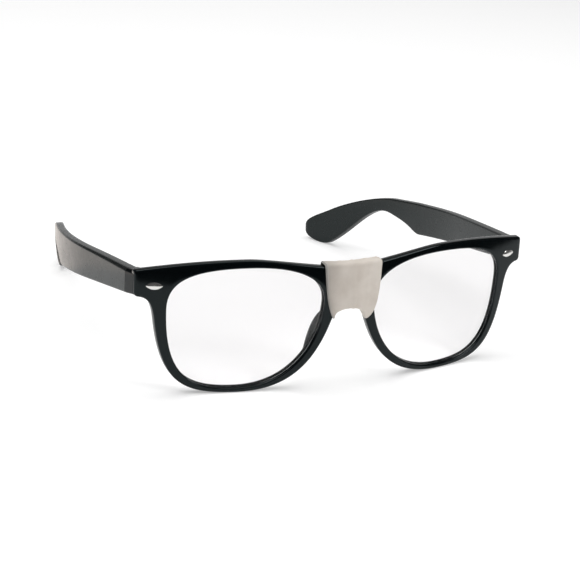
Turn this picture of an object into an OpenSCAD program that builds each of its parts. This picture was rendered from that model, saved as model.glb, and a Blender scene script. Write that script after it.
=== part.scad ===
// Thick rimmed spectacles with clear lenses and cloth tape wound round the bridge.
// Built as worn: X runs across the face, the front faces -Y, the temples run back to +Y.
// Outlines are drawn as [across, up] seen from the front, up measured from the rims' lowest line.
// "right" and "left" are the wearer's, so right is -X.

/* [Lenses] */
// Width of one lens opening
lens_w = 53.2; // [48:0.1:58]
// Height of one lens opening
lens_h = 42.8; // [36:0.1:48]
// Gap between the two lens openings
bridge_w = 18.6; // [15:0.1:22]
// Thickness of each lens
lens_t = 1.4; // [1.2:0.1:1.6]
// Radius that the front is wrapped to
wrap_r = 228; // [160:1:400]

/* [Rims] */
// Thickness of the front, face to back
front_t = 3.8; // [3.5:0.1:5]
// Rim below a lens opening
rim_low = 1.6; // [1:0.1:3]
// Rim outside a lens opening, below the end piece
rim_side = 3.7; // [2.5:0.1:5]
// Rim between a lens opening and the nose
rim_nose = 3.7; // [3:0.1:5]
// Brow above a lens opening
brow_h = 2.5; // [1.5:0.1:4]
// How far the brow's face leans back at its top
brow_roll = 0.8; // [0:0.1:1]
// Height of the bridge at its middle
bridge_h = 14.1; // [10:0.1:16]
// Rounding at the front of a lens opening
edge_in = 0.5; // [0.2:0.1:0.6]
// Rounding of the front's outer edge
edge_out = 0.6; // [0.2:0.1:1]
// Rounding of the front's rear edge
edge_back = 1.1; // [0.4:0.1:1.4]
// Depth of the groove that holds a lens
groove_d = 0.7; // [0.5:0.1:1]
// Front lip ahead of the lens
lip_t = 1.2; // [1.1:0.1:1.4]

/* [End pieces] */
// Distance from a lens opening to the outer side
end_w = 10.3; // [9:0.1:12]
// Height of the outer side
end_h = 9.1; // [8:0.1:11]
// How far the outer corner lies below the lens opening's top line
end_drop = 0.6; // [0:0.1:2]
// Length of the end piece behind the front's outer corner
end_l = 8; // [7:0.1:10]
// Length of the stud set in each end piece
stud_l = 5.6; // [4:0.1:7]
// Height of that stud
stud_h = 2.5; // [1.5:0.1:3]

/* [Nose pads] */
// How far the moulded pads stand out behind the rims
pad_d = 4.5; // [3:0.1:6]
// Length of each pad, up and down
pad_l = 16; // [12:0.5:17]

/* [Temples] */
// Distance from the hinge seam to the end of the tip
temple_l = 135; // [125:0.1:145]
// Thickness of a temple at the hinge
temple_t = 4.2; // [3.6:0.1:5]
// Thickness of a temple at its tip
tip_t = 3.2; // [2.6:0.1:4]
// Height of a temple at the hinge
temple_h = 8.8; // [8:0.1:11]
// Outward splay of a temple, in degrees
splay = 4.6; // [2:0.1:6]
// How far the tip is drawn in towards the head
curl = 28.4; // [20:0.1:32]
// Bevel along a temple's outer top edge
temple_bevel = 1.2; // [0.5:0.1:2]
// Gap at the seam between end piece and temple
seam_gap = 0.12; // [0.05:0.01:0.3]

/* [Hinges] */
// Outer radius of the hinge barrel
barrel_r = 1.35; // [1.2:0.05:1.5]
// Radius of the hinge screw's shank
screw_r = 0.7; // [0.5:0.05:0.8]
// Clearance round the screw in the temple's knuckle
screw_gap = 0.04; // [0.02:0.01:0.08]
// Height of the two outer knuckles
knuckle_h = 1.6; // [1.2:0.1:2]
// Height of the middle knuckle
middle_h = 1.8; // [1.4:0.1:2.4]
// Gap between knuckles
knuckle_gap = 0.05; // [0.03:0.01:0.1]
// Thickness of the hinge leaves
leaf_t = 0.8; // [0.6:0.1:1]
// Length of the leaf set in the temple
leaf_l = 7; // [6:0.5:10]

/* [Tape] */
// Width of the tape round the bridge
tape_w = 21.2; // [18:0.1:24]
// Thickness of the wound tape
tape_t = 0.6; // [0.4:0.1:1]
// Clearance between tape and frame
tape_gap = 0.3; // [0.2:0.05:0.4]

/* [Hidden] */

gloss_black = [0.05, 0.06, 0.065];
satin_black = [0.25, 0.26, 0.26];
steel = [0.72, 0.72, 0.7];
clear = [0.9, 0.93, 0.95, 0.35];
cloth = [0.77, 0.73, 0.69];

// Curves: a cubic through four points, its direction, and a point set off to its left
function bez(p, t) = p[0]*(1 - t)^3 + 3*p[1]*t*(1 - t)^2 + 3*p[2]*t^2*(1 - t) + p[3]*t^3;
function heading(p, t) = (p[1] - p[0])*(1 - t)^2 + 2*(p[2] - p[1])*t*(1 - t) + (p[3] - p[2])*t^2;
function left_of(v) = [-v[1], v[0]]/norm(v);
function beside(p, t, d) = bez(p, t) + d*left_of(heading(p, t));
function mix(a, b, t) = a + (b - a)*t;
function line(a, b) = [a, mix(a, b, 1/3), mix(a, b, 2/3), b];

// Lens opening: four quarter curves between the points where it touches its box
nose_u = bridge_w/2;
outer_u = nose_u + lens_w;
low_v = rim_low;
high_v = low_v + lens_h;
touch_top = [nose_u + 0.5*lens_w, high_v];
touch_side = [outer_u, low_v + 0.67*lens_h];
touch_low = [nose_u + 0.545*lens_w, low_v];
touch_nose = [nose_u, low_v + 0.69*lens_h];

// One quarter from a to b: f and g say how far the curve follows each side of the box
function quarter(a, b, corner, f, g) = [a, mix(a, corner, f), mix(b, corner, g), b];
opening = [
    quarter(touch_nose, touch_top, [nose_u, high_v], 0.48, 0.76),
    quarter(touch_top, touch_side, [outer_u, high_v], 0.80, 0.62),
    quarter(touch_side, touch_low, [outer_u, low_v], 0.92, 0.56),
    quarter(touch_low, touch_nose, [nose_u, low_v], 0.74, 0.38)
];

// Outer outline of one half of the front
side_u = outer_u + end_w;
corner_r = 1.3;
end_top = high_v - end_drop;
end_low = end_top - end_h;
brow_top = high_v + brow_h;
centre_top = high_v - 1.7;
arch_v = centre_top - bridge_h;
arch_end = [nose_u - rim_nose, arch_v - 2.2];
rim_bottom = [nose_u + 0.54*lens_w, 0];
rim_edge = [outer_u + rim_side, end_low - 8.4];
brow_peak = [nose_u + 0.5*lens_w, brow_top];
nose_lean = 17;
side_lean = 7;
side_dir = [sin(side_lean), cos(side_lean)];
nose_dir = [-sin(nose_lean), cos(nose_lean)];
corner_k = 0.55*corner_r;

centre_line = line([0, arch_v], [0, centre_top]);
brow_inner = [[0, centre_top], [0.8*nose_u, centre_top], brow_peak - [0.15*lens_w, 0], brow_peak];
brow_outer = [brow_peak, brow_peak + [0.18*lens_w, 0],
    [side_u - corner_r - 0.3*lens_w, end_top + 0.05*lens_w], [side_u - corner_r, end_top]];
top_corner = [[side_u - corner_r, end_top], [side_u - corner_r + corner_k, end_top],
    [side_u, end_top - corner_r + corner_k], [side_u, end_top - corner_r]];
end_side = line([side_u, end_top - corner_r], [side_u, end_low + corner_r]);
low_corner = [[side_u, end_low + corner_r], [side_u, end_low + corner_r - corner_k],
    [side_u - corner_r + corner_k, end_low], [side_u - corner_r, end_low]];
notch = [[side_u - corner_r, end_low], [side_u - corner_r - 0.3*end_w, end_low - 0.3],
    rim_edge + 6.2*side_dir, rim_edge];
rim_outer = [rim_edge, rim_edge - 0.9*rim_edge[1]*side_dir, rim_bottom + [0.34*lens_w, 0], rim_bottom];
rim_inner = [rim_bottom, rim_bottom - [0.36*lens_w, 0], arch_end - 0.64*arch_end[1]*nose_dir, arch_end];
arch = [arch_end, arch_end + 1.7*nose_dir, [0.45*arch_end[0], arch_v], [0, arch_v]];

// Stations round one lens: which quarter of the opening, from, to, outer curve, steps
ZONES = [
    [0, 0.00, 0.45, centre_line, 4],
    [0, 0.45, 1.00, brow_inner, 9],
    [1, 0.00, 0.50, brow_outer, 9],
    [1, 0.50, 0.56, top_corner, 2],
    [1, 0.56, 0.82, end_side, 2],
    [1, 0.82, 0.88, low_corner, 2],
    [1, 0.88, 1.00, notch, 5],
    [2, 0.00, 1.00, rim_outer, 11],
    [3, 0.00, 0.93, rim_inner, 12],
    [3, 0.93, 1.00, arch, 4]
];
SHARED = ZONES[0][4];

function inner_ring(d) = [for (z = ZONES, i = [0:z[4] - 1])
    beside(opening[z[0]], mix(z[1], z[2], i/z[4]), d)];
// The outer ring is inset by d, and along the middle of the bridge it stays on the middle
function outer_ring(d) = [for (k = [0:len(ZONES) - 1], i = [0:ZONES[k][4] - 1])
    k == 0 ? [0, mix(arch_v + d, centre_top - d, i/SHARED)]
           : beside(ZONES[k][3], i/ZONES[k][4], -d)];

// The front's outer surface: wrapped round the face, leaning back towards the brow's top
roll_from = touch_side[1] + 4;
function wrap_y(u) = wrap_r - sqrt(wrap_r^2 - u^2);
function roll_y(v) = brow_roll*(max(0, v - roll_from)/(brow_top - roll_from))^2;
function on_front(p, depth, roll) = [p[0], wrap_y(p[0]) + depth + roll*roll_y(p[1]), p[1]];

groove_back = lip_t + lens_t + 0.2;
in_wall = inner_ring(0);
in_front = inner_ring(edge_in);
in_back = inner_ring(0.4);
in_groove = inner_ring(groove_d);
out_wall = outer_ring(0);
out_front = outer_ring(edge_out);
out_back = outer_ring(edge_back);
N = len(in_wall);

// One closed section round the rim for each station, from the front of the opening round the back
function section(i) = [
    on_front(in_front[i], 0, 1),
    on_front(in_wall[i], edge_in, 0.6),
    on_front(in_wall[i], lip_t, 0),
    on_front(in_groove[i], lip_t, 0),
    on_front(in_groove[i], groove_back, 0),
    on_front(in_wall[i], groove_back, 0),
    on_front(in_wall[i], front_t - 0.4, 0),
    on_front(in_back[i], front_t, 0),
    on_front(mix(in_back[i], out_back[i], 0.5), front_t, 0),
    on_front(out_back[i], front_t, 0),
    on_front(out_wall[i], front_t - edge_back, 0),
    on_front(out_wall[i], edge_out, 1),
    on_front(out_front[i], 0, 1),
    on_front(mix(in_front[i], out_front[i], 0.5), 0, 1)
];
RINGS = 14;
FIRST_OUT = 9;
LAST_OUT = 12;

// Both halves share the points on the middle of the bridge, so the front is one closed skin
module rims() {
    half = [for (i = [0:N - 1]) each section(i)];
    other = [for (p = half) [-p[0], p[1], p[2]]];
    shared = function(i, j) i <= SHARED && j >= FIRST_OUT && j <= LAST_OUT;
    mirrored = function(i, j) (shared(i, j) ? 0 : N*RINGS) + i*RINGS + j;
    steps = [for (i = [0:N - 1], j = [0:RINGS - 1])
        if (!(i < SHARED && j >= FIRST_OUT && j < LAST_OUT)) [i, (i + 1)%N, j, (j + 1)%RINGS]];
    faces = [for (s = steps) each [
        [s[0]*RINGS + s[2], s[1]*RINGS + s[3], s[0]*RINGS + s[3]],
        [s[0]*RINGS + s[2], s[1]*RINGS + s[2], s[1]*RINGS + s[3]]]];
    faces_other = [for (s = steps) each [
        [mirrored(s[0], s[2]), mirrored(s[0], s[3]), mirrored(s[1], s[3])],
        [mirrored(s[0], s[2]), mirrored(s[1], s[3]), mirrored(s[1], s[2])]]];
    polyhedron(concat(half, other), concat(faces, faces_other), convexity = 10);
}

// A skin over sections that all have the same number of points, closed at both ends
module skin(sections) {
    m = len(sections[0]);
    n = len(sections);
    sides = [for (i = [0:n - 2], j = [0:m - 1]) each [
        [i*m + j, i*m + (j + 1)%m, (i + 1)*m + (j + 1)%m],
        [i*m + j, (i + 1)*m + (j + 1)%m, (i + 1)*m + j]]];
    ends = concat(
        [for (j = [1:m - 2]) [0, j + 1, j]],
        [for (j = [1:m - 2]) [(n - 1)*m, (n - 1)*m + j, (n - 1)*m + j + 1]]);
    polyhedron([for (s = sections) each s], concat(sides, ends), convexity = 10);
}

// Temples: rails of the top and bottom edges seen from the side, as [back, up]
corner_y = wrap_y(side_u);
seam_y = corner_y + end_l;
hinge_y = seam_y + seam_gap;
tip_y = seam_y + temple_l;
seam_top = end_top - 1.8;
seam_low = seam_top - temple_h;
elbow = [seam_y + 0.51*temple_l, seam_low - 15.3];
elbow_start = elbow - [3, -0.7];
elbow_end = elbow + [3, 0.6];
over_elbow = [elbow_start[0], seam_top - 10.6];
past_elbow = [elbow_end[0], seam_top - 11.6];
ear_top = [seam_y + 0.642*temple_l, seam_top - 14.4];
ear_low = ear_top + [1.2, -6.6];
tip_top = [tip_y - 13.3, seam_top - 29.5];
tip_low = tip_top + [0.5, -15.6];
tip_end = [tip_y, tip_top[1] - 12.2];
TOP_RAIL = [
    [[hinge_y, seam_top], [seam_y + 0.15*temple_l, seam_top - 2.9],
        [seam_y + 0.305*temple_l, seam_top - 6.1], over_elbow],
    line(over_elbow, past_elbow),
    [past_elbow, past_elbow + [4.8, -0.9], ear_top - [6, -1.1], ear_top],
    [ear_top, ear_top + [10.3, -1.9], tip_top - [8.9, -6], tip_top],
    [tip_top, tip_top + [7.3, -4.9], tip_end + [0, 4.7], tip_end]
];
LOW_RAIL = [
    line([hinge_y, seam_low], elbow_start),
    [elbow_start, elbow, elbow, elbow_end],
    [elbow_end, elbow_end + [5.3, 1.7], ear_low - [6.2, 0.5], ear_low],
    [ear_low, ear_low + [12.8, 1], tip_low - [11.3, -8.3], tip_low],
    [tip_low, tip_low + [3.1, -2.2], tip_end - [0, 4.7], tip_end]
];
RAIL_STEPS = [7, 3, 5, 8, 8];

curl_from = seam_y + 0.27*temple_l;
// Outer face of a temple: a straight splay, then drawn in towards the head
function temple_x(y) = side_u + tan(splay)*(y - corner_y)
    - curl*(max(0, y - curl_from)/(tip_y - curl_from))^2;
// How far a point is along the front half of a temple, which is thicker than the rest
function along_temple(y) = min(1, max(0, (y - seam_y)/(0.5*temple_l)));
function temple_thick(y) = mix(temple_t, tip_t, along_temple(y));
function slab_point(y, v, inward) = [temple_x(y) - inward, y, v];
// Section of a temple between a top and a bottom rail point, softened at its four edges
function temple_section(top, low) =
    let (tall = norm(top - low), e = min(0.6, 0.3*tall),
        dir = (top - low)/tall, y = (top[0] + low[0])/2, th = temple_thick(y),
        c = min(temple_bevel*mix(1, 0.4, along_temple(y)), 0.3*tall),
        at = function(p, inward) slab_point(p[0], p[1], inward))
    [at(low, e), at(low + e*dir, 0), at(top - c*dir, 0), at(top, 0.8*c),
        at(top, th - e), at(top - e*dir, th), at(low + e*dir, th), at(low, th - e)];
rails = concat(
    [for (k = [0:len(RAIL_STEPS) - 1], i = [0:RAIL_STEPS[k] - 1])
        [bez(TOP_RAIL[k], i/RAIL_STEPS[k]), bez(LOW_RAIL[k], i/RAIL_STEPS[k])]],
    [[bez(TOP_RAIL[4], 0.97), bez(LOW_RAIL[4], 0.97)]]);

module temple_blank() {
    skin([for (r = rails) temple_section(r[0], r[1])]);
}

// The end piece turns the corner behind the front and carries on the temple's section
end_in = 5;
module end_block() {
    start = corner_y + 1.2;
    function end_at(y, top, low) = [for (p = temple_section([y, top], [y, low]))
        [p[0] > temple_x(y) - temple_t/2 ? p[0] - 0.02 : p[0] - (end_in - temple_t), p[1], p[2]]];
    skin([end_at(start, end_top - 0.4, end_low + 0.3), end_at(seam_y, seam_top, seam_low)]);
}

// Nose pads: a fin behind each rim, moulded with it
pad_top = arch_end[1] + 0.9;
PAD_STEPS = 10;
// Round a pad's section: across at its root, outward slope, share of its reach
PAD_FIN = [[0.45, 0, 0], [0.5, 0.2, 0.55], [0.7, 0.28, 0.88], [1.3, 0.3, 1],
    [2, 0.28, 0.88], [2.6, 0.13, 0.45], [3, 0, 0]];
// How far across a rising curve lies at the height v, found by halving
function across_at(curve, v, lo = 0, hi = 1, n = 14) =
    let (m = (lo + hi)/2, p = bez(curve, m))
    n == 0 ? p[0] : p[1] < v ? across_at(curve, v, m, hi, n - 1) : across_at(curve, v, lo, m, n - 1);
function pad_section(k) =
    let (v = pad_top - pad_l*k/PAD_STEPS, u = across_at(rim_inner, v),
        root = wrap_y(u + PAD_FIN[6][0]) + front_t - edge_back + 0.25,
        reach = 0.4*edge_back + pad_d*sin(180*(k/PAD_STEPS)^0.8)^0.6)
    [for (q = PAD_FIN) [u + q[0] + q[1]*reach, root + q[2]*reach, v]];
module nose_pad() {
    skin([for (k = [PAD_STEPS - 0.2, each [PAD_STEPS - 1:-1:1], 0.4, 0.1]) pad_section(k)]);
}

// Hinges: barrel axis inside the end piece, just behind the seam
face_d = 2.2;
pivot_x = temple_x(hinge_y) - temple_t - face_d;
pivot_y = seam_y + 0.4;
hinge_h = 2*knuckle_h + middle_h + 2*knuckle_gap;
pivot_v = (seam_top + seam_low)/2 - 0.8;
block_face = temple_x(seam_y) - end_in - pivot_x;
leaf_inset = 0.5;
pocket_gap = 0.08;
front_leaf_l = 5.2;

// Mirrors a piece made for the wearer's left onto the right
module on_side(side) {
    mirror([side < 0 ? 1 : 0, 0, 0]) children();
}
module at_pivot() {
    translate([pivot_x, pivot_y, pivot_v]) children();
}
module barrel(h, r) {
    translate([0, 0, -h/2]) cylinder(r = r, h = h, $fn = 48);
}
// The plate of the temple's leaf, grown by gap for its pocket
module temple_plate(gap) {
    rotate([0, 0, -splay])
        translate([face_d - leaf_t + leaf_inset - gap, gap > 0 ? -1 : 0.2, -middle_h/2 - 0.9 - gap])
            cube([leaf_t + 2*gap, leaf_l + gap + (gap > 0 ? 1.2 : 0), middle_h + 1.8 + 2*gap]);
}
// The plate of the front's leaf, grown by gap for its pocket
module front_plate(gap) {
    translate([block_face - leaf_t + leaf_inset - gap, -1.5 - front_leaf_l - gap, -hinge_h/2 - gap])
        cube([leaf_t + 2*gap, front_leaf_l + gap + (gap > 0 ? 2 : 0), hinge_h + 2*gap]);
}

module front_leaf() {
    difference() {
        union() {
            front_plate(0);
            for (s = [-1, 1]) translate([0, 0, s*(hinge_h - knuckle_h)/2]) {
                barrel(knuckle_h, barrel_r);
                translate([0.3, -1.7, -knuckle_h/2]) cube([block_face - 0.38, 1.4, knuckle_h]);
            }
        }
        barrel(hinge_h + 1, screw_r + 0.02);
    }
}
module temple_leaf() {
    difference() {
        union() {
            temple_plate(0);
            barrel(middle_h, barrel_r);
            rotate([0, 0, -splay]) translate([0.3, 0.2, -middle_h/2])
                cube([face_d + leaf_inset - 0.5, 2, middle_h]);
        }
        barrel(hinge_h, screw_r + screw_gap);
    }
}
module screw_body() {
    head_h = 0.6;
    difference() {
        union() {
            translate([0, 0, -hinge_h/2 - 0.3]) cylinder(r = screw_r, h = hinge_h + 0.4, $fn = 48);
            translate([0, 0, hinge_h/2 + 0.03]) cylinder(r = barrel_r - 0.15, h = head_h, $fn = 48);
        }
        translate([-2, -0.15, hinge_h/2 + 0.3]) cube([4, 0.3, 1]);
    }
}

// Studs: a pointed oval set in the face of each end piece
stud_u = outer_u + 0.4*end_w;
stud_v = (end_top + end_low)/2 - 0.6;
stud_depth = 1.2;
stud_proud = 0.35;
module pointed_oval(l, h, depth) {
    r = (l^2 + h^2)/(4*h);
    intersection() {
        translate([0, 0, r - h/2]) rotate([90, 0, 0]) cylinder(r = r, h = depth, $fn = 96);
        translate([0, 0, h/2 - r]) rotate([90, 0, 0]) cylinder(r = r, h = depth, $fn = 96);
    }
}
module at_stud() {
    translate([stud_u, wrap_y(stud_u), stud_v]) rotate([0, 0, asin(stud_u/wrap_r)]) children();
}
module stud_body() {
    dome_r = 7;
    intersection() {
        translate([0, stud_depth - 0.1, 0]) pointed_oval(stud_l, stud_h, stud_depth + 1);
        translate([0, dome_r - stud_proud, 0]) sphere(r = dome_r, $fn = 96);
    }
}
module stud_pocket() {
    translate([0, stud_depth, 0]) pointed_oval(stud_l + 0.2, stud_h + 0.12, stud_depth + 2);
}

// A sheet of one thickness that follows the wrap, from depth a to depth b
sheet_h = 3*lens_h;
module wrap_sheet(a, b) {
    difference() {
        translate([0, wrap_r + a, -sheet_h/4]) cylinder(r = wrap_r, h = sheet_h, $fn = 480);
        translate([0, wrap_r + b, -sheet_h/2]) cylinder(r = wrap_r, h = 2*sheet_h, $fn = 480);
    }
}
// Pushes an outline drawn as [across, up] through the front from y = from to y = to
module through(from, to) {
    translate([0, to, 0]) rotate([90, 0, 0]) linear_extrude(to - from) children();
}

module lens_body() {
    fit = 0.1;
    intersection() {
        through(-2, corner_y + front_t) polygon(inner_ring(groove_d - fit));
        wrap_sheet(lip_t + fit, lip_t + fit + lens_t);
    }
}

// Tape: a closed band round the bridge, its corners wrapped down the nose side of the rims in front.
// Behind, it ends above the pads.
tape_low = arch_end[1] - 2.5;
tape_back_low = pad_top + 0.3;
// Its top is drawn nearly straight across the dip in the brow
tape_top = centre_top + 0.6;
tape_over = [[0, tape_top], [0.2*tape_w, tape_top], bez(brow_inner, 0.3), bez(brow_inner, 0.36)];
tape_room = 2*front_t;
module bridge_outline(grow) {
    half = [for (i = [0:10]) beside(rim_inner, mix(0.75, 1, i/10), grow)];
    under = [for (i = [1:8]) beside(arch, i/8, grow)];
    over = [for (i = [0:4]) beside(tape_over, i/4, grow)];
    side = concat(half, under);
    polygon(concat(side, [for (i = [len(side) - 2:-1:0]) [-side[i][0], side[i][1]]],
        [for (i = [len(over) - 1:-1:1]) [-over[i][0], over[i][1]]], over));
}
module tape_reach() {
    top_half = tape_w/2;
    waist = top_half - 1.6;
    tip = top_half - 3;
    polygon([[-tip, tape_low], [tip, tape_low], [waist, arch_v - 1.6], [top_half, centre_top + 4],
        [-top_half, centre_top + 4], [-waist, arch_v - 1.6]]);
}
module room_for_pads() {
    translate([-tape_w, front_t/2, tape_back_low - lens_h]) cube([2*tape_w, tape_room, lens_h]);
}
module tape_band(grow) {
    intersection() {
        through(-tape_room, front_t + tape_room) bridge_outline(grow);
        wrap_sheet(-grow, front_t + grow);
    }
}

// Rest pose: the front's rims and both tips stand on the floor
low_points = [for (r = rails) r[1]];
tip_low_v = min([for (p = low_points) p[1]]);
tip_low_y = [for (p = low_points) if (p[1] == tip_low_v) p[0]][0];
rim_y = wrap_y(rim_bottom[0]) + edge_out;
lean = atan2(-tip_low_v, tip_low_y - rim_y);
drop = rim_y*sin(lean);
nearest_y = -(tape_gap + tape_t)*cos(lean) - (tape_top + tape_gap + tape_t)*sin(lean);
farthest_y = tip_y*cos(lean) - tip_end[1]*sin(lean);
module rest() {
    translate([0, -(nearest_y + farthest_y)/2, -drop]) rotate([lean, 0, 0]) children();
}

module front_frame() {
    color(gloss_black) rest() difference() {
        union() {
            rims();
            for (side = [-1, 1]) on_side(side) {
                end_block();
                nose_pad();
            }
        }
        for (side = [-1, 1]) on_side(side) {
            at_pivot() front_plate(pocket_gap);
            at_stud() stud_pocket();
        }
    }
}
module lens(side) {
    color(clear) rest() on_side(side) lens_body();
}
module bridge_tape() {
    color(cloth) rest() intersection() {
        difference() {
            tape_band(tape_gap + tape_t);
            tape_band(tape_gap);
            room_for_pads();
        }
        through(-tape_room, front_t + tape_room) tape_reach();
    }
}
module front_hinge(side) {
    color(steel) rest() on_side(side) at_pivot() front_leaf();
}
module temple_hinge(side) {
    color(steel) rest() on_side(side) at_pivot() temple_leaf();
}
module hinge_screw(side) {
    color(steel) rest() on_side(side) at_pivot() screw_body();
}
module front_stud(side) {
    color(steel) rest() on_side(side) at_stud() stud_body();
}
module temple(side) {
    color(satin_black) rest() on_side(side) difference() {
        temple_blank();
        at_pivot() temple_plate(pocket_gap);
    }
}

front_frame();
lens(-1);  // lens_right
lens(1);  // lens_left
bridge_tape();
front_hinge(-1);  // front_hinge_right
front_hinge(1);  // front_hinge_left
temple_hinge(-1);  // temple_hinge_right
temple_hinge(1);  // temple_hinge_left
hinge_screw(-1);  // hinge_screw_right
hinge_screw(1);  // hinge_screw_left
front_stud(-1);  // front_stud_right
front_stud(1);  // front_stud_left
temple(-1);  // temple_right
temple(1);  // temple_left
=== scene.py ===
import math

import bmesh
import bpy
from mathutils import Matrix, Vector, noise


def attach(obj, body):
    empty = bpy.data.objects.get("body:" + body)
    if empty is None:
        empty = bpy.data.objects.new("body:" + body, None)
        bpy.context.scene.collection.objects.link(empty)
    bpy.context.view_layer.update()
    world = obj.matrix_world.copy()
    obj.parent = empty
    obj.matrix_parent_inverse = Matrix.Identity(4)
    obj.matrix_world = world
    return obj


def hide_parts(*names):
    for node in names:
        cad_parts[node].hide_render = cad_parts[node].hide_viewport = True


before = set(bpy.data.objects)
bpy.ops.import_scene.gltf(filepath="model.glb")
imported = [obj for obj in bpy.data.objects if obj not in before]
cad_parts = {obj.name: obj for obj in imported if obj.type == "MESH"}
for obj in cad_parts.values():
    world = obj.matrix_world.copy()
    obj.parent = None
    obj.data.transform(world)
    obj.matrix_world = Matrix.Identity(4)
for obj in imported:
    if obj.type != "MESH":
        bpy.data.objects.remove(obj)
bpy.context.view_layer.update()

# Camera: a long lens standing to the wearer's right of the middle, a little above the brow.
# It is tipped about three degrees, as the picture was.
stand = Vector((-0.2223, -0.51852, 0.21067))
sight = Vector((0.38800, 0.85746, -0.33795)).normalized()
across = sight.cross(Vector((0.08973, 0.33045, 0.93955))).normalized()
camera = bpy.data.objects.new("camera", bpy.data.cameras.new("camera"))
camera.data.lens = 96.43
camera.data.sensor_width = 36
camera.matrix_world = Matrix.Translation(stand) @ Matrix(
    (across, across.cross(sight), -sight)
).transposed().to_4x4()
bpy.context.scene.collection.objects.link(camera)
bpy.context.scene.camera = camera

# The front is one moulding of black plastic, tumbled and polished until its edges are soft.
# Outlines are drawn in millimetres as seen from the front, up from the lowest line of the rims.
bridge_w, lens_w, lens_h, rim_low = 18.6, 53.2, 42.8, 1.6
front_t, rim_side, rim_nose, brow_h, brow_roll = 3.8, 3.7, 3.7, 2.5, 0.8
edge_in, edge_out, edge_back, lip_round = 0.5, 0.6, 1.1, 0.4
groove_d, groove_play, lip_t, lens_t = 0.7, 0.2, 1.2, 1.4
end_w, end_h, end_drop, end_l, bridge_h, wrap_r = 10.3, 9.1, 0.6, 8, 14.1, 228
centre_drop, arch_drop, side_drop, corner_r = 1.7, 2.2, 8.4, 1.3
nose_angle, side_angle = math.radians(17), math.radians(7)
# The brow's lean starts this far above the sides' widest point and fades over this depth
roll_above, roll_deep = 4, 1.5
nose_u = bridge_w / 2
outer_u = nose_u + lens_w
high_v = rim_low + lens_h
side_u = outer_u + end_w
end_top = high_v - end_drop
end_low = end_top - end_h
centre_top = high_v - centre_drop
arch_v = centre_top - bridge_h
arch_end = Vector((nose_u - rim_nose, arch_v - arch_drop))
rim_bottom = Vector((nose_u + 0.54 * lens_w, 0))
rim_edge = Vector((outer_u + rim_side, end_low - side_drop))
brow_peak = Vector((nose_u + 0.5 * lens_w, high_v + brow_h))
nose_lean = Vector((-math.sin(nose_angle), math.cos(nose_angle)))
side_lean = Vector((math.sin(side_angle), math.cos(side_angle)))
# A curve whose handles are this long turns a corner like a quarter of a circle
corner_k = 0.55 * corner_r

# Standing on its rims and temple tips, the pair is tipped forward a little. Here it is also
# brought from millimetres to metres, with its middle over the origin.
forward, down, tipped = 0.0763296, 0.00011159, math.radians(1.68557)
to_rest = (
    Matrix.Translation((0, -forward, -down))
    @ Matrix.Rotation(tipped, 4, "X")
    @ Matrix.Scale(0.001, 4)
)


def point_on(curve, t):
    """A point on a curve drawn with two handles, t from 0 to 1 along it."""
    a, b, c, d = (Vector(p) for p in curve)
    s = 1 - t
    return a * s**3 + 3 * b * t * s * s + 3 * c * t * t * s + d * t**3


def heading_on(curve, t):
    """Which way the curve runs there."""
    a, b, c, d = (Vector(p) for p in curve)
    s = 1 - t
    return (b - a) * s * s + 2 * (c - b) * t * s + (d - c) * t * t


def beside(curve, t, off):
    """A point set off to the left of a curve."""
    ahead = heading_on(curve, t).normalized()
    return point_on(curve, t) + off * Vector((-ahead.y, ahead.x))


def mix(a, b, t):
    """What lies a share t of the way from a to b."""
    return a + (b - a) * t


def straight(a, b):
    """A straight line, written as a curve."""
    a, b = Vector(a), Vector(b)
    return a, mix(a, b, 1 / 3), mix(a, b, 2 / 3), b


def quarter(a, b, corner, f, g):
    """A quarter of an opening from a to b, drawn towards the corner by the shares f and g."""
    a, b, corner = Vector(a), Vector(b), Vector(corner)
    return a, mix(a, corner, f), mix(b, corner, g), b


touch_top = (nose_u + 0.5 * lens_w, high_v)
touch_side = (outer_u, rim_low + 0.67 * lens_h)
touch_low = (nose_u + 0.545 * lens_w, rim_low)
touch_nose = (nose_u, rim_low + 0.69 * lens_h)
opening = (
    quarter(touch_nose, touch_top, (nose_u, high_v), 0.48, 0.76),
    quarter(touch_top, touch_side, (outer_u, high_v), 0.80, 0.62),
    quarter(touch_side, touch_low, (outer_u, rim_low), 0.92, 0.56),
    quarter(touch_low, touch_nose, (nose_u, rim_low), 0.74, 0.38),
)
rim_inner = (
    rim_bottom,
    rim_bottom - Vector((0.36 * lens_w, 0)),
    arch_end - 0.64 * arch_end.y * nose_lean,
    arch_end,
)
arch = (arch_end, arch_end + 1.7 * nose_lean, (0.45 * arch_end.x, arch_v), (0, arch_v))
brow_inner = (
    (0, centre_top),
    (0.8 * nose_u, centre_top),
    brow_peak - Vector((0.15 * lens_w, 0)),
    brow_peak,
)
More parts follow.
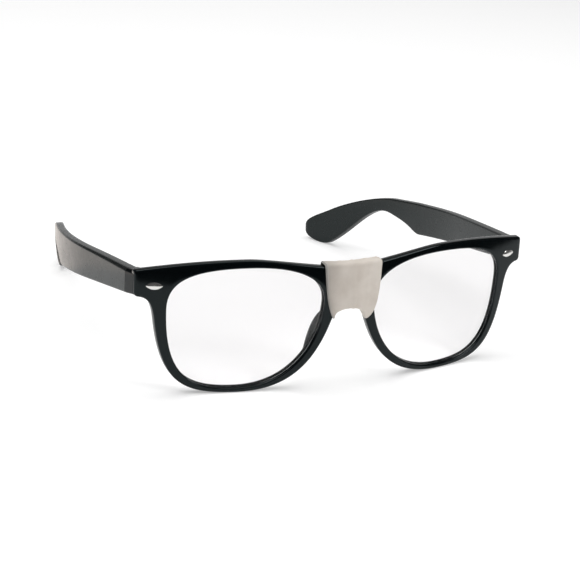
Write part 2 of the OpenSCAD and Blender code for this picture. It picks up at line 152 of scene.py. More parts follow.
# Round one rim: which quarter of the opening, from, to, the outer curve beside it, steps
zones = (
    (0, 0.00, 0.45, straight((0, arch_v), (0, centre_top)), 12),
    (0, 0.45, 1.00, brow_inner, 36),
    (
        1,
        0.00,
        0.50,
        (
            brow_peak,
            brow_peak + Vector((0.18 * lens_w, 0)),
            (side_u - corner_r - 0.3 * lens_w, end_top + 0.05 * lens_w),
            (side_u - corner_r, end_top),
        ),
        36,
    ),
    (
        1,
        0.50,
        0.56,
        (
            (side_u - corner_r, end_top),
            (side_u - corner_r + corner_k, end_top),
            (side_u, end_top - corner_r + corner_k),
            (side_u, end_top - corner_r),
        ),
        8,
    ),
    (
        1,
        0.56,
        0.82,
        straight((side_u, end_top - corner_r), (side_u, end_low + corner_r)),
        10,
    ),
    (
        1,
        0.82,
        0.88,
        (
            (side_u, end_low + corner_r),
            (side_u, end_low + corner_r - corner_k),
            (side_u - corner_r + corner_k, end_low),
            (side_u - corner_r, end_low),
        ),
        8,
    ),
    (
        1,
        0.88,
        1.00,
        (
            (side_u - corner_r, end_low),
            (side_u - corner_r - 0.3 * end_w, end_low - 0.3),
            rim_edge + 6.2 * side_lean,
            rim_edge,
        ),
        20,
    ),
    (
        2,
        0.00,
        1.00,
        (
            rim_edge,
            rim_edge - 0.9 * rim_edge.y * side_lean,
            rim_bottom + Vector((0.34 * lens_w, 0)),
            rim_bottom,
        ),
        44,
    ),
    (3, 0.00, 0.93, rim_inner, 48),
    (3, 0.93, 1.00, arch, 12),
)
bridge_steps = zones[0][4]
stations = [
    (opening[q], mix(start, end, i / steps), outer, i / steps)
    for q, start, end, outer, steps in zones
    for i in range(steps)
]
quarter_turn = [math.radians(22.5 * i) for i in range(5)]
groove_back = lip_t + lens_t + groove_play
side_flat = 1.6
# Round the section of a rim: 0 beside the opening or 1 beside the outer curve, inset, depth
profile = (
    [(0, edge_in * (1 - math.sin(a)), edge_in * (1 - math.cos(a))) for a in quarter_turn]
    + [(0, 0, lip_t), (0, groove_d, lip_t), (0, groove_d, groove_back), (0, 0, groove_back)]
    + [
        (0, lip_round * (1 - math.cos(a)), front_t - lip_round * (1 - math.sin(a)))
        for a in quarter_turn
    ]
    + [(0.5, 0, front_t)]
    + [
        (1, edge_back * (1 - math.sin(a)), front_t - edge_back * (1 - math.cos(a)))
        for a in quarter_turn
    ]
    + [(1, 0, side_flat)]
    + [
        (1, edge_out * (1 - math.cos(a)), edge_out * (1 - math.sin(a)))
        for a in quarter_turn
    ]
    + [(share, 0, 0) for share in (0.9, 0.7, 0.5, 0.3, 0.1)]
)


def wrap_y(u):
    """The front is bent to a wide curve that follows the face."""
    return wrap_r - math.sqrt(wrap_r**2 - u**2)


def roll_y(v):
    """Towards its top the brow leans back."""
    start = touch_side[1] + roll_above
    return brow_roll * (max(0, v - start) / (brow_peak.y - start)) ** 2


def on_front(p, depth):
    """Lays a point of an outline on the bent front, so deep behind its face."""
    rolled = max(0, 1 - depth / roll_deep) * roll_y(p[1])
    return Vector((p[0], wrap_y(p[0]) + depth + rolled, p[1]))


def rim_point(i, j):
    """A point of the front's skin, i round the rim and j round its section."""
    i %= len(stations)
    curve, t, outer, t_out = stations[i]
    where, inset, depth = profile[j % len(profile)]

    def outside(off):
        """A point beside the outer curve, or between arch and brow on the middle line."""
        if i < bridge_steps:
            return Vector((0, mix(arch_v + off, centre_top - off, t_out)))
        return beside(outer, t_out, -off)

    if where == 0:
        return on_front(beside(curve, t, inset), depth)
    if where == 1:
        return on_front(outside(inset), depth)
    near, far = (edge_in, edge_out) if depth == 0 else (lip_round, edge_back)
    return on_front(mix(beside(curve, t, near), outside(far), where), depth)


def laid_grid(bm, around, along, place):
    """A sheet of faces, with each corner moved to where place(i, j) says."""
    made = bmesh.ops.create_grid(bm, x_segments=around, y_segments=along, size=1)
    for v in made["verts"]:
        i = round((v.co.x + 1) / 2 * around)
        j = round((v.co.y + 1) / 2 * along)
        v.co = place(i, j)
    return made["verts"]


def both_sides(bm):
    """Adds the wearer's right side to a piece drawn for the left."""
    everything = bm.verts[:] + bm.edges[:] + bm.faces[:]
    bmesh.ops.mirror(bm, geom=everything, axis="X", merge_dist=1e-4)


def finished(name, bm, body, finish, sharp=35):
    """Sets a piece down at rest on its body, with soft shading broken at its sharp edges."""
    bmesh.ops.transform(bm, matrix=to_rest, verts=bm.verts)
    bmesh.ops.recalc_face_normals(bm, faces=bm.faces)
    mesh = bpy.data.meshes.new(name)
    bm.to_mesh(mesh)
    bm.free()
    mesh.shade_smooth()
    mesh.set_sharp_from_angle(angle=math.radians(sharp))
    mesh.materials.append(finish)
    piece = bpy.data.objects.new(name, mesh)
    bpy.context.scene.collection.objects.link(piece)
    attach(piece, body)
    return piece


def new_material(name):
    """A material, its nodes and its shader."""
    material = bpy.data.materials.new(name)
    material.use_nodes = True
    return material, material.node_tree, material.node_tree.nodes["Principled BSDF"]


def polish_marks():
    """Faint cloudiness and fine ripples that tumbling leaves on moulded plastic."""
    group = bpy.data.node_groups.new("polish_marks", "ShaderNodeTree")
    sockets = group.interface
    for name, value in (("Roughness", 0.2), ("Spread", 0.05), ("Ripple size", 160)):
        socket = sockets.new_socket(name, in_out="INPUT", socket_type="NodeSocketFloat")
        socket.default_value = value
    sockets.new_socket("Roughness", in_out="OUTPUT", socket_type="NodeSocketFloat")
    sockets.new_socket("Height", in_out="OUTPUT", socket_type="NodeSocketFloat")
    new, link = group.nodes.new, group.links.new
    given, given_out = new("NodeGroupInput"), new("NodeGroupOutput")
    place = new("ShaderNodeTexCoord")
    cloud = new("ShaderNodeTexNoise")
    cloud.inputs["Scale"].default_value = 210
    cloud.inputs["Detail"].default_value = 5
    centred = new("ShaderNodeMath")
    centred.operation = "SUBTRACT"
    centred.inputs[1].default_value = 0.5
    spread = new("ShaderNodeMath")
    spread.operation = "MULTIPLY_ADD"
    ripple = new("ShaderNodeTexNoise")
    ripple.inputs["Detail"].default_value = 1
    link(place.outputs["Object"], cloud.inputs["Vector"])
    link(cloud.outputs["Fac"], centred.inputs[0])
    link(centred.outputs[0], spread.inputs[0])
    link(given.outputs["Spread"], spread.inputs[1])
    link(given.outputs["Roughness"], spread.inputs[2])
    link(place.outputs["Object"], ripple.inputs["Vector"])
    link(given.outputs["Ripple size"], ripple.inputs["Scale"])
    link(spread.outputs[0], given_out.inputs["Roughness"])
    link(ripple.outputs["Fac"], given_out.inputs["Height"])
    return group


marks = polish_marks()


def marked(tree, roughness, spread):
    """Lets the marks cloud a shader's roughness."""
    worn = tree.nodes.new("ShaderNodeGroup")
    worn.node_tree = marks
    worn.inputs["Roughness"].default_value = roughness
    worn.inputs["Spread"].default_value = spread
    shader = tree.nodes["Principled BSDF"]
    tree.links.new(worn.outputs["Roughness"], shader.inputs["Roughness"])
    return worn


def rippled(tree, worn, strength, depth):
    """Lets the marks ripple a shader's surface."""
    bump = tree.nodes.new("ShaderNodeBump")
    bump.inputs["Strength"].default_value = strength
    bump.inputs["Distance"].default_value = depth
    tree.links.new(worn.outputs["Height"], bump.inputs["Height"])
    tree.links.new(bump.outputs["Normal"], tree.nodes["Principled BSDF"].inputs["Normal"])


def black_plastic(name, colour, gloss, roughness, spread, depth):
    """The moulded plastic, with as much gloss and ripple as its place on the frame has."""
    material, tree, shader = new_material(name)
    shader.inputs["Base Color"].default_value = (*colour, 1)
    shader.inputs["IOR"].default_value = 1.47
    shader.inputs["Specular IOR Level"].default_value = gloss
    shader.inputs["Specular Tint"].default_value = (0.84, 0.98, 1, 1)
    rippled(tree, marked(tree, roughness, spread), 0.5, depth)
    return material


deep_black = (0.0012, 0.0022, 0.0027)
polished_black = black_plastic(
    "polished_black", deep_black, gloss=0.27, roughness=0.12, spread=0.08, depth=4e-5
)
bm = bmesh.new()
laid_grid(bm, len(stations), len(profile), rim_point)
bmesh.ops.remove_doubles(bm, verts=bm.verts, dist=1e-5)
middle = [f for f in bm.faces if all(abs(v.co.x) < 1e-6 for v in f.verts)]
bmesh.ops.delete(bm, geom=middle, context="FACES")
both_sides(bm)
front_rims = finished("front_rims", bm, "front", polished_black, sharp=50)
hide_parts("front_frame")

# The end pieces turn the corner from the front to the hinges. They are part of the moulding and
# run down to the temples' height, with the same flat worked along the upper outer edge. The
# polishing drum reaches their sides less than the face.
temple_l, temple_t, tip_t, temple_h = 135, 4.2, 3.2, 8.8
splay, curl, temple_bevel, seam_gap, seam_drop = 4.6, 28.4, 1.2, 0.12, 1.8
end_in, end_steps = 5, 8
# How far inside the front's own edges they start: behind, from above, from below, from outside
tuck_back, tuck_top, tuck_low, tuck_side = 1.2, 0.4, 0.3, 0.02
corner_y = wrap_y(side_u)
seam_y = corner_y + end_l
hinge_y = seam_y + seam_gap
tip_y = seam_y + temple_l
seam_top = end_top - seam_drop
seam_low = seam_top - temple_h
curl_from = seam_y + 0.27 * temple_l


def temple_x(y):
    """The outer face of a temple: straight and splayed, then drawn in towards the head."""
    drawn_in = max(0, y - curl_from) / (tip_y - curl_from)
    return side_u + math.tan(math.radians(splay)) * (y - corner_y) - curl * drawn_in**2


def rounded(corners, steps=4):
    """A closed outline through corners given as (across, up, radius), each turned softly."""
    turned = []
    for k, (x, y, r) in enumerate(corners):
        here = Vector((x, y))
        before = (Vector(corners[k - 1][:2]) - here).normalized() * r
        after = (Vector(corners[(k + 1) % len(corners)][:2]) - here).normalized() * r
        for n in range(steps + 1):
            t = n / steps
            turned.append(here + before * (1 - t) ** 2 + after * t**2)
    return turned


def bar_outline(tall, thick, flat):
    """Section of a temple or end piece, from its outer lower corner round its outer face."""
    soft = min(0.8, 0.3 * min(tall, thick))
    flat = min(flat, 0.3 * tall)
    return rounded(
        (
            (0, 0, soft),
            (0, tall - flat, 0.3 * flat),
            (0.8 * flat, tall, 0.3 * flat),
            (thick, tall, soft),
            (thick, 0, soft),
        )
    )


def end_point(i, j):
    """A point of the left end piece, i round its section and j back to the hinge."""
    t = j / end_steps
    y = mix(corner_y + tuck_back, seam_y, t)
    top, low = mix(end_top - tuck_top, seam_top, t), mix(end_low + tuck_low, seam_low, t)
    outline = bar_outline(top - low, end_in, temple_bevel)
    inward, up = outline[i % len(outline)]
    return Vector((temple_x(y) - tuck_side - inward, y, low + up))


around = len(bar_outline(temple_h, end_in, temple_bevel))
bm = bmesh.new()
laid_grid(bm, around, end_steps, end_point)
bmesh.ops.remove_doubles(bm, verts=bm.verts, dist=1e-5)
bmesh.ops.holes_fill(bm, edges=bm.edges, sides=around)
both_sides(bm)
turned_black = black_plastic(
    "turned_black", deep_black, gloss=0.06, roughness=0.16, spread=0.08, depth=4e-5
)
end_pieces = finished("end_pieces", bm, "front", turned_black)
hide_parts("front_frame")

# The nose pads are small fins behind the rims, moulded with them, that rest beside the nose.
# Lying deep behind the rims they keep more of the mould's dull skin.
# The root of each lies in the plastic, pad_root behind where the rim's back edge starts to turn.
# It is made from pad_from to pad_to of its length, where it is thin but not yet nothing.
pad_d, pad_l, pad_w, pad_root, pad_steps = 4.5, 16, 3, 0.25, 24
pad_from, pad_to = 0.01, 0.98
pad_top = arch_end.y + 0.9
# Round a pad's section: across at its root, outward slope, share of its reach
pad_fin = (
    (0.45, 0, 0),
    (0.5, 0.2, 0.55),
    (0.7, 0.28, 0.88),
    (1.3, 0.3, 1),
    (2, 0.28, 0.88),
    (2.6, 0.13, 0.45),
    (pad_w, 0, 0),
)


def nose_edge(v):
    """How far across the nose side of a rim lies at one height."""
    low, high = 0, 1
    for _ in range(24):
        middle = (low + high) / 2
        if point_on(rim_inner, middle).y < v:
            low = middle
        else:
            high = middle
    return point_on(rim_inner, low).x


def pad_point(i, j):
    """A point of the left pad, which swells from nothing at both ends. down is 0 at its top."""
    down = mix(pad_from, pad_to, j / pad_steps)
    v = pad_top - pad_l * down
    rise = math.sin(math.pi * down**0.8)
    u = nose_edge(v)
    root = wrap_y(u + pad_w) + front_t - edge_back + pad_root
    reach = 0.4 * edge_back + pad_d * rise**0.6
    over, slope, out = pad_fin[i % len(pad_fin)]
    return Vector((u + over + slope * reach, root + out * reach, v))


bm = bmesh.new()
laid_grid(bm, len(pad_fin), pad_steps, pad_point)
bmesh.ops.remove_doubles(bm, verts=bm.verts, dist=1e-5)
bmesh.ops.holes_fill(bm, edges=bm.edges, sides=len(pad_fin))
both_sides(bm)
pad_black = black_plastic(
    "pad_black", (0.004, 0.005, 0.005), gloss=0.6, roughness=0.22, spread=0.1, depth=4e-5
)
nose_pads = finished("nose_pads", bm, "front", pad_black, sharp=80)
soften = nose_pads.modifiers.new("soften", "SUBSURF")
soften.levels = soften.render_levels = 2
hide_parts("front_frame")

# The lenses are clear plastic without power, cut to the openings and snapped into the grooves.
# Their edges are ground and left matt, which shows as a thin pale line just inside the rims.
clear_plastic, tree, glass = new_material("clear_plastic")
glass.inputs["Base Color"].default_value = (0.862, 0.853, 0.857, 1)
glass.inputs["Transmission Weight"].default_value = 1
glass.inputs["IOR"].default_value = 1.35
smear_place = tree.nodes.new("ShaderNodeTexCoord")
smear = tree.nodes.new("ShaderNodeTexNoise")
smear.inputs["Scale"].default_value = 60
smear.inputs["Detail"].default_value = 4
smear_range = tree.nodes.new("ShaderNodeMapRange")
smear_range.inputs["From Min"].default_value = 0.55
smear_range.inputs["From Max"].default_value = 0.9
smear_range.inputs["To Max"].default_value = 0.05
ray = tree.nodes.new("ShaderNodeLightPath")
let_through = tree.nodes.new("ShaderNodeBsdfTransparent")
let_through.inputs["Color"].default_value = (0.97, 0.97, 0.97, 1)
either = tree.nodes.new("ShaderNodeMixShader")
tree.links.new(smear_place.outputs["Object"], smear.inputs["Vector"])
tree.links.new(smear.outputs["Fac"], smear_range.inputs["Value"])
tree.links.new(smear_range.outputs["Result"], glass.inputs["Roughness"])
tree.links.new(ray.outputs["Is Shadow Ray"], either.inputs["Fac"])
tree.links.new(glass.outputs["BSDF"], either.inputs[1])
tree.links.new(let_through.outputs["BSDF"], either.inputs[2])
tree.links.new(either.outputs["Shader"], tree.nodes["Material Output"].inputs["Surface"])

ground_edge, tree, shader = new_material("ground_edge")
shader.inputs["Base Color"].default_value = (0.6, 0.61, 0.61, 1)
marked(tree, roughness=0.7, spread=0.3)

# Faces that look forward or back by less than edge_slope are a lens's edge
lens_rings, lens_fit, edge_slope = 10, 0.1, 0.5
lens_middle = Vector((nose_u + 0.5 * lens_w, rim_low + 0.52 * lens_h))
lens_edge = [beside(curve, t, groove_d - lens_fit) for curve, t, _, _ in stations]


def lens_point(i, j):
    """From the middle of the lens's face out to its edge, over it, and back to its middle."""
    out = min(j, 2 * lens_rings + 1 - j) / lens_rings
    depth = lip_t + lens_fit + (lens_t if j > lens_rings else 0)
    p = mix(lens_middle, lens_edge[i % len(lens_edge)], out)
    return Vector((p.x, wrap_y(p.x) + depth, p.y))


for side in ("left", "right"):
    bm = bmesh.new()
    laid_grid(bm, len(lens_edge), 2 * lens_rings + 1, lens_point)
    bmesh.ops.remove_doubles(bm, verts=bm.verts, dist=1e-5)
    if side == "right":
        bmesh.ops.scale(bm, vec=(-1, 1, 1), verts=bm.verts)
    lens = finished(f"clear_lens_{side}", bm, "front", clear_plastic)
    lens.data.materials.append(ground_edge)
    for face in lens.data.polygons:
        face.material_index = 1 if abs(face.normal.y) < edge_slope else 0
    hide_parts(f"lens_{side}")

# The tape is a strip of white cloth tape, wound about two turns round the bridge by hand.
# It is pinched where it passes under the arch, so its lower corners hang down beside the nose.
tape_wide, tape_thick, tape_bend, tape_off = 21.2, 0.2, 0.8, 0.1
tape_across, tape_along = 48, 190
# It starts on the back, this share of a turn on from the foot of its face, and ends there too
tape_turns, tape_start = 2.12, 0.62
# The middle of the cloth starts tape_slack off the plastic, each turn takes it turn_lift further
# out, and it is a little uneven. The outer turn is narrower and lies off to one side.
tape_slack, turn_lift, tape_uneven, outer_width, outer_shift = 0.12, 0.24, 0.05, 0.955, 0.012
# Creases that run round the bridge: height, then place, breadth and sway in half widths
creases = ((0.13, 0.12, 0.05, 0.05), (0.09, 0.55, 0.06, 0), (0.075, -0.35, 0.08, 0))
# How far its top edge stands over the bridge, how much more at the sides, and the height of
# the lower handle over the arch
tape_over, tape_rise, tape_foot = 0.8, 0.5, 4
# Share of its half width that lies in the arch, the pinch behind, and how far along the nose
# side of each rim its corners reach
arch_share, back_pinch, nose_t_left, nose_t_right = 0.66, 0.46, 0.945, 0.968
# Its edges to the wearer's left and right: half width at the top, then half width and height of
# the upper handle, then across, up in front and up behind of the lower handle
left_edge = (11.1, 10.5, 36, 11.4, 25.4, 30)
right_edge = (10.1, 9.5, 37, -8.6, 29, 31)


def under_tape(w, back=0):
    """Where the tape turns under: along the arch, and in front down the nose side of each rim."""
    side = 1 if w > 0 else -1
    reach = abs(w) * mix(1, back_pinch, back)
    if reach < arch_share:
        p = beside(arch, 1 - reach / arch_share, tape_off)
    else:
        end = nose_t_left if side > 0 else nose_t_right
        p = beside(rim_inner, mix(1, end, (reach - arch_share) / (1 - arch_share)), tape_off)
    return Vector((side * p.x, p.y))


def tape_path(w, t, back=0):
    """A line of the cloth up the bridge, t from the arch to the top, back 0 on its face."""
    low = under_tape(w, back)
    top_half, upper_half, upper_v, lower_u, front_v, back_v = left_edge if w > 0 else right_edge
    lower = (mix(low.x, lower_u, w**2), mix(low.y + tape_foot, mix(front_v, back_v, back), w**2))
    high = (w * top_half, centre_top + tape_over + tape_rise * w**2)
    return point_on((low, lower, (w * upper_half, upper_v), high), t)


def tape_point(i, j):
    """A point of the cloth, i across the tape and j along it."""
    w = 2 * i / tape_across - 1
    turned = j / tape_along * tape_turns
    part = (turned + tape_start) % 1
    if turned > 1:
        w = outer_width * w - outer_shift
    crease = sum(
        high * math.exp(-(((w - place + sway * math.sin(5 * part)) / broad) ** 2))
        for high, place, broad, sway in creases
    )
    lift = tape_slack + turn_lift * turned + crease
    lift += tape_uneven * noise.noise(Vector((3 * w, 9 * part, turned)))
    # Once round the bridge: up its face, over its top, down its back and under the arch
    long = (tape_path(w, 1) - tape_path(w, 0)).length
    loop = rounded(
        (
            (-lift, -lift, tape_bend),
            (long + lift, -lift, tape_bend),
            (long + lift, front_t + lift, tape_bend),
            (-lift, front_t + lift, tape_bend),
        ),
        steps=6,
    )
    loop.append(loop[0])
    lengths = [(b - a).length for a, b in zip(loop, loop[1:])]
    left = part * sum(lengths)
    for (a, b), length in zip(zip(loop, loop[1:]), lengths):
        if left <= length:
            along_up, back = mix(a, b, left / length)
            break
        left -= length
    t = min(1, max(0, along_up / long))
    p = tape_path(w, t, min(1, max(0, back / front_t)))
    if along_up > long:
        p = p + Vector((0, along_up - long))
    elif along_up < 0:
        outward = Vector((-math.copysign(min(1, abs(w) ** 3), w), -1 + 0.6 * abs(w) ** 3))
        p = p - outward.normalized() * along_up
    rolled = roll_y(p.y) * max(0, 1 - max(0, back) / roll_deep)
    return Vector((p.x, wrap_y(p.x) + back + rolled, p.y))


def cloth_tape():
    """Woven cotton, unevenly soiled, with painted shade that darkens and cools it towards the
    wearer's right edge.
    """
    material, tree, shader = new_material("white_cloth_tape")
    new, link = tree.nodes.new, tree.links.new
    shader.inputs["Roughness"].default_value = 0.78
    shader.inputs["Sheen Weight"].default_value = 0.15
    place = new("ShaderNodeUVMap")
    place.uv_map = "cloth"
    threads = []
    for direction in ("X", "Y"):
        thread = new("ShaderNodeTexWave")
        thread.bands_direction = direction
        thread.inputs["Scale"].default_value = 900
        thread.inputs["Distortion"].default_value = 0.6
        link(place.outputs["UV"], thread.inputs["Vector"])
        threads.append(thread)
    weave = new("ShaderNodeMath")
    weave.operation = "ADD"
    link(threads[0].outputs["Fac"], weave.inputs[0])
    link(threads[1].outputs["Fac"], weave.inputs[1])
    bump = new("ShaderNodeBump")
    bump.inputs["Strength"].default_value = 0.35
    bump.inputs["Distance"].default_value = 4e-5
    link(weave.outputs[0], bump.inputs["Height"])
    link(bump.outputs["Normal"], shader.inputs["Normal"])
    soiled = new("ShaderNodeTexNoise")
    soiled.inputs["Scale"].default_value = 170
    soiled.inputs["Detail"].default_value = 6
    spot = new("ShaderNodeTexCoord")
    link(spot.outputs["Object"], soiled.inputs["Vector"])
    tint = new("ShaderNodeValToRGB")
    tint.color_ramp.elements[0].position = 0.3
    tint.color_ramp.elements[0].color = (0.62, 0.555, 0.49, 1)
    tint.color_ramp.elements[1].position = 0.7
    tint.color_ramp.elements[1].color = (0.73, 0.67, 0.605, 1)
    link(soiled.outputs["Fac"], tint.inputs["Fac"])
    across_cloth = new("ShaderNodeSeparateXYZ")
    link(place.outputs["UV"], across_cloth.inputs[0])
    share = new("ShaderNodeMapRange")
    share.inputs["From Max"].default_value = 0.001 * tape_wide
    link(across_cloth.outputs["X"], share.inputs["Value"])
    # Painted shade: the colour darkens and cools towards the cloth's edge on the wearer's right,
    # standing in for that side lying turned away from the light.
    painted_side_shade = new("ShaderNodeValToRGB")
    painted_side_shade.color_ramp.elements[0].color = (0.62, 0.65, 0.68, 1)
    painted_side_shade.color_ramp.elements[1].color = (1, 1, 1, 1)
    for position, shade in ((0.05, 0.66), (0.08, 0.72), (0.3, 0.9), (0.7, 1)):
        stop = painted_side_shade.color_ramp.elements.new(position)
        stop.color = (shade, shade, shade, 1)
    link(share.outputs["Result"], painted_side_shade.inputs["Fac"])
    # The soiling, multiplied by the painted shade, gives the base colour.
    dirt_and_shade = new("ShaderNodeMix")
    dirt_and_shade.data_type = "RGBA"
    dirt_and_shade.blend_type = "MULTIPLY"
    dirt_and_shade.inputs["Factor"].default_value = 1
    link(tint.outputs["Color"], dirt_and_shade.inputs["A"])
    link(painted_side_shade.outputs["Color"], dirt_and_shade.inputs["B"])
    link(dirt_and_shade.outputs["Result"], shader.inputs["Base Color"])
    return material


bm = bmesh.new()
cloth_uv = bm.loops.layers.uv.new("cloth")
laid = bmesh.ops.create_grid(bm, x_segments=tape_across, y_segments=tape_along, size=1)
steps_of = {
    v: (round((v.co.x + 1) / 2 * tape_across), round((v.co.y + 1) / 2 * tape_along))
    for v in laid["verts"]
}
for v, (i, j) in steps_of.items():
    v.co = tape_point(i, j)
middle_line = [tape_point(tape_across // 2, j) for j in range(tape_along + 1)]
tape_long = sum((b - a).length for a, b in zip(middle_line, middle_line[1:]))
for f in bm.faces:
    for corner in f.loops:
        i, j = steps_of[corner.vert]
        corner[cloth_uv].uv = (
            0.001 * tape_wide * i / tape_across,
            0.001 * tape_long * j / tape_along,
        )
tape = finished("bridge_tape_cloth", bm, "front", cloth_tape(), sharp=80)
thickness = tape.modifiers.new("thickness", "SOLIDIFY")
thickness.thickness = 0.001 * tape_thick
thickness.offset = 0
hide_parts("bridge_tape")

# The hinges are stamped steel leaves pressed into the plastic, with three knuckles on a screw.
# They keep the shapes that they were built with, and get their plated finish here.
bright_metal, tree, shader = new_material("plated_steel")
shader.inputs["Base Color"].default_value = (0.72, 0.71, 0.69, 1)
shader.inputs["Metallic"].default_value = 1
rippled(tree, marked(tree, roughness=0.2, spread=0.12), strength=0.3, depth=2e-5)

for side in ("left", "right"):
    for kind in ("front_hinge", "temple_hinge", "hinge_screw"):
        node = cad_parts[f"{kind}_{side}"]
        node.data.materials.clear()
        node.data.materials.append(bright_metal)

# The studs are pointed ovals of the same plated steel, set into pockets in the end pieces.
# Each is domed and stands a little proud of the black plastic round it.
stud_l, stud_h, stud_proud, stud_lift, stud_sunk, stud_drop = 5.6, 2.5, 0.35, 0.04, 0.6, 0.6
stud_around, stud_rings = 48, 8
stud_u = outer_u + 0.4 * end_w
stud_v = (end_top + end_low) / 2 - stud_drop
stud_r = (stud_l**2 + stud_h**2) / (4 * stud_h)
stud_half_angle = math.asin(stud_l / 2 / stud_r)
stud_turn = math.asin(stud_u / wrap_r)


def stud_outline(i):
    """A pointed oval: two arcs that meet at its ends."""
    upper = i < stud_around / 2
    t = (i / (stud_around / 2)) % 1
    a = mix(-stud_half_angle, stud_half_angle, t)
    x, z = stud_r * math.sin(a), stud_r * math.cos(a) - stud_r + stud_h / 2
    return Vector((x, z)) if upper else Vector((-x, -z))


def stud_point(i, j):
    """From the foot of the stud's wall to its rim, then in rings to the top of its dome."""
    share = 1 if j == 0 else 1 - (j - 1) / stud_rings
    x, z = stud_outline(i % stud_around) * share
    proud = stud_proud * (1 - share**2) ** 0.8 + stud_lift if j else -stud_sunk
    return Vector(
        (
            stud_u + x * math.cos(stud_turn) + proud * math.sin(stud_turn),
            wrap_y(stud_u) + x * math.sin(stud_turn) - proud * math.cos(stud_turn) + roll_y(stud_v),
            stud_v + z,
        )
    )


for side in ("left", "right"):
    bm = bmesh.new()
    laid_grid(bm, stud_around, stud_rings + 1, stud_point)
    bmesh.ops.remove_doubles(bm, verts=bm.verts, dist=1e-5)
    bmesh.ops.holes_fill(bm, edges=bm.edges, sides=stud_around)
    if side == "right":
        bmesh.ops.scale(bm, vec=(-1, 1, 1), verts=bm.verts)
    stud = finished(f"stud_head_{side}", bm, "front", bright_metal)
    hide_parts(f"front_stud_{side}")

# The temples are moulded bars, deep at the hinge, that drop behind the ear to a rounded tip.
# They are injected in the same black plastic, but come from the mould with a satin skin.
satin_black = black_plastic(
    "satin_black", (0.007, 0.0088, 0.0085), gloss=0.28, roughness=0.27, spread=0.1, depth=3e-5
)
elbow = Vector((seam_y + 0.51 * temple_l, seam_low - 15.3))
elbow_start = elbow - Vector((3, -0.7))
elbow_end = elbow + Vector((3, 0.6))
over_elbow = Vector((elbow_start.x, seam_top - 10.6))
past_elbow = Vector((elbow_end.x, seam_top - 11.6))
ear_top = Vector((seam_y + 0.642 * temple_l, seam_top - 14.4))
ear_low = ear_top + Vector((1.2, -6.6))
tip_top = Vector((tip_y - 13.3, seam_top - 29.5))
tip_low = tip_top + Vector((0.5, -15.6))
tip_end = Vector((tip_y, tip_top.y - 12.2))
tip_rise = Vector((0, 4.7))
top_rail = (
    (
        (hinge_y, seam_top),
        (seam_y + 0.15 * temple_l, seam_top - 2.9),
        (seam_y + 0.305 * temple_l, seam_top - 6.1),
        over_elbow,
    ),
    straight(over_elbow, past_elbow),
    (past_elbow, past_elbow + Vector((4.8, -0.9)), ear_top - Vector((6, -1.1)), ear_top),
    (ear_top, ear_top + Vector((10.3, -1.9)), tip_top - Vector((8.9, -6)), tip_top),
    (tip_top, tip_top + Vector((7.3, -4.9)), tip_end + tip_rise, tip_end),
)
low_rail = (
    straight((hinge_y, seam_low), elbow_start),
    (elbow_start, elbow, elbow, elbow_end),
    (elbow_end, elbow_end + Vector((5.3, 1.7)), ear_low - Vector((6.2, 0.5)), ear_low),
    (ear_low, ear_low + Vector((12.8, 1)), tip_low - Vector((11.3, -8.3)), tip_low),
    (tip_low, tip_low + Vector((3.1, -2.2)), tip_end - tip_rise, tip_end),
)
# The rails meet at the tip, so the last bar stops just short of it. From tip_round before the
# tip the bar is rounded off, until it has lost the share tip_thinned of its thickness.
rail_steps, last_bar, tip_round, tip_thinned = (24, 8, 14, 22, 30), (4, 0.985), 2.4, 0.9
bars = [(k, i / steps) for k, steps in enumerate(rail_steps) for i in range(steps)]
bars.append(last_bar)


def temple_point(i, j):
    """A point of the left temple, i round bar j, which thins over the last of the tip."""
    k, t = bars[j]
    top, low = point_on(top_rail[k], t), point_on(low_rail[k], t)
    tall = (top - low).length
    y = (top.x + low.x) / 2
    thick = mix(temple_t, tip_t, min(1, max(0, (y - seam_y) / (0.5 * temple_l))))
    rounding = max(0, (y - tip_y + tip_round) / tip_round)
    shrunk = thick * (1 - math.sqrt(max(0, 1 - rounding**2)))
    thick = thick - tip_thinned * shrunk
    flat = temple_bevel * mix(1, 0.4, min(1, (y - seam_y) / (0.5 * temple_l)))
    outline = bar_outline(tall, thick, flat)
    inward, up = outline[i % len(outline)]
    p = low + (top - low) * (up / tall)
    return Vector((temple_x(p.x) - inward - 0.5 * tip_thinned * shrunk, p.x, p.y))


for side in ("left", "right"):
    bm = bmesh.new()
    laid_grid(bm, around, len(bars) - 1, temple_point)
    bmesh.ops.remove_doubles(bm, verts=bm.verts, dist=1e-5)
    bmesh.ops.holes_fill(bm, edges=bm.edges, sides=around)
    if side == "right":
        bmesh.ops.scale(bm, vec=(-1, 1, 1), verts=bm.verts)
    temple = finished(f"temple_bar_{side}", bm, f"temple_{side}", satin_black)
    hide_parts(f"temple_{side}")

# The set: a pale glowing floor, a broad soft light overhead, a smaller one in front, and a room
# that is dark in front and pale behind. Cards out of the picture show in the black plastic: dark
# ones in front and behind, and a warm white one on the floor by the wearer's right temple.
floor_mesh = bpy.data.meshes.new("floor")
bm = bmesh.new()
bmesh.ops.create_grid(bm, x_segments=1, y_segments=1, size=4)
bm.to_mesh(floor_mesh)
bm.free()
floor = bpy.data.objects.new("floor", floor_mesh)
bpy.context.scene.collection.objects.link(floor)
paper, _, shader = new_material("white_paper")
shader.inputs["Base Color"].default_value = (0.74, 0.74, 0.74, 1)
shader.inputs["Roughness"].default_value = 0.9
shader.inputs["Emission Color"].default_value = (1, 1, 1, 1)
shader.inputs["Emission Strength"].default_value = 0.36
floor_mesh.materials.append(paper)


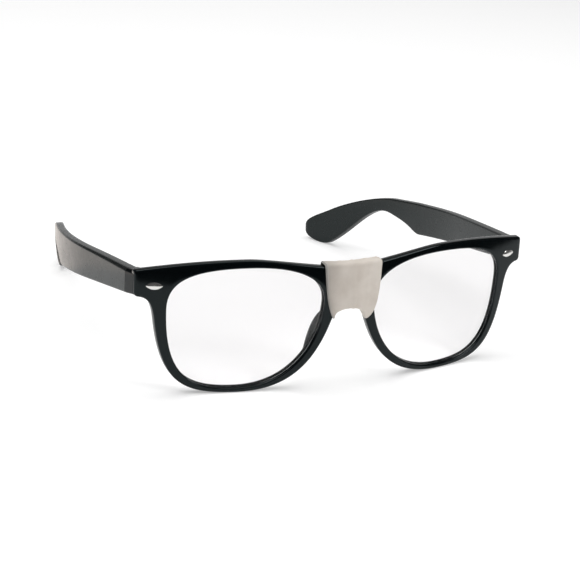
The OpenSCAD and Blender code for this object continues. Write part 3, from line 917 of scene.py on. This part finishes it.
def studio_card(name, wide, long, place, colour, glow=0, tip=0, turn=0):
    """A sheet of card out of the picture, that shows only where it is reflected."""
    mesh = bpy.data.meshes.new(name)
    bm = bmesh.new()
    bmesh.ops.create_grid(bm, x_segments=1, y_segments=1, size=0.5)
    bmesh.ops.scale(bm, vec=(wide, long, 1), verts=bm.verts)
    bm.to_mesh(mesh)
    bm.free()
    card = bpy.data.objects.new(name, mesh)
    card.matrix_world = (
        Matrix.Translation(place)
        @ Matrix.Rotation(math.radians(turn), 4, "Z")
        @ Matrix.Rotation(math.radians(tip), 4, "X")
    )
    bpy.context.scene.collection.objects.link(card)
    card.visible_camera = False
    card.visible_diffuse = False
    card.visible_transmission = False
    card.visible_shadow = False
    material, _, shader = new_material(name)
    shader.inputs["Base Color"].default_value = (*colour, 1)
    shader.inputs["Roughness"].default_value = 1
    shader.inputs["Emission Color"].default_value = (*colour, 1)
    shader.inputs["Emission Strength"].default_value = glow
    mesh.materials.append(material)


felt, warm_white = (0.004, 0.004, 0.004), (1, 0.93, 0.88)
studio_card("front_card", 4, 1.8, (0, -1.082, 0.001), felt, turn=8.3)
studio_card("side_card", 0.2, 0.28, (-0.15, 0.19, 0.002), warm_white, glow=0.65)
studio_card("rear_flag", 0.54, 0.44, (-0.57, 0.99, 0.36), felt, tip=90, turn=30)

for name, place, target, size, power in (
    ("overhead", (-0.1, 0.1, 1.3), (0, 0, 0), 1.6, 20),
    ("front_fill", (0.8, -1.15, 0.85), (0, 0, 0.02), 0.5, 6.5),
):
    lamp = bpy.data.lights.new(name, "AREA")
    lamp.shape = "SQUARE"
    lamp.size = size
    lamp.energy = power
    light = bpy.data.objects.new(name, lamp)
    light.location = place
    light.rotation_mode = "QUATERNION"
    light.rotation_quaternion = (Vector(target) - Vector(place)).to_track_quat("-Z", "Y")
    bpy.context.scene.collection.objects.link(light)

# The room is pale near the horizon behind and at the sides, and dark above and in front
world = bpy.data.worlds.new("studio")
bpy.context.scene.world = world
world.use_nodes = True
tree = world.node_tree
sky = tree.nodes["Background"]
direction = tree.nodes.new("ShaderNodeTexCoord")
backdrop = tree.nodes.new("ShaderNodeVectorMath")
backdrop.operation = "DOT_PRODUCT"
backdrop.inputs[1].default_value = (0, -0.35, 1)
fade = tree.nodes.new("ShaderNodeValToRGB")
fade.color_ramp.elements[0].position = 0.05
fade.color_ramp.elements[0].color = (0.6, 0.6, 0.6, 1)
fade.color_ramp.elements[1].position = 0.24
fade.color_ramp.elements[1].color = (0.08, 0.08, 0.08, 1)
tree.links.new(direction.outputs["Generated"], backdrop.inputs[0])
tree.links.new(backdrop.outputs["Value"], fade.inputs["Fac"])
tree.links.new(fade.outputs["Color"], sky.inputs["Color"])
bpy.context.scene.view_settings.view_transform = "Standard"
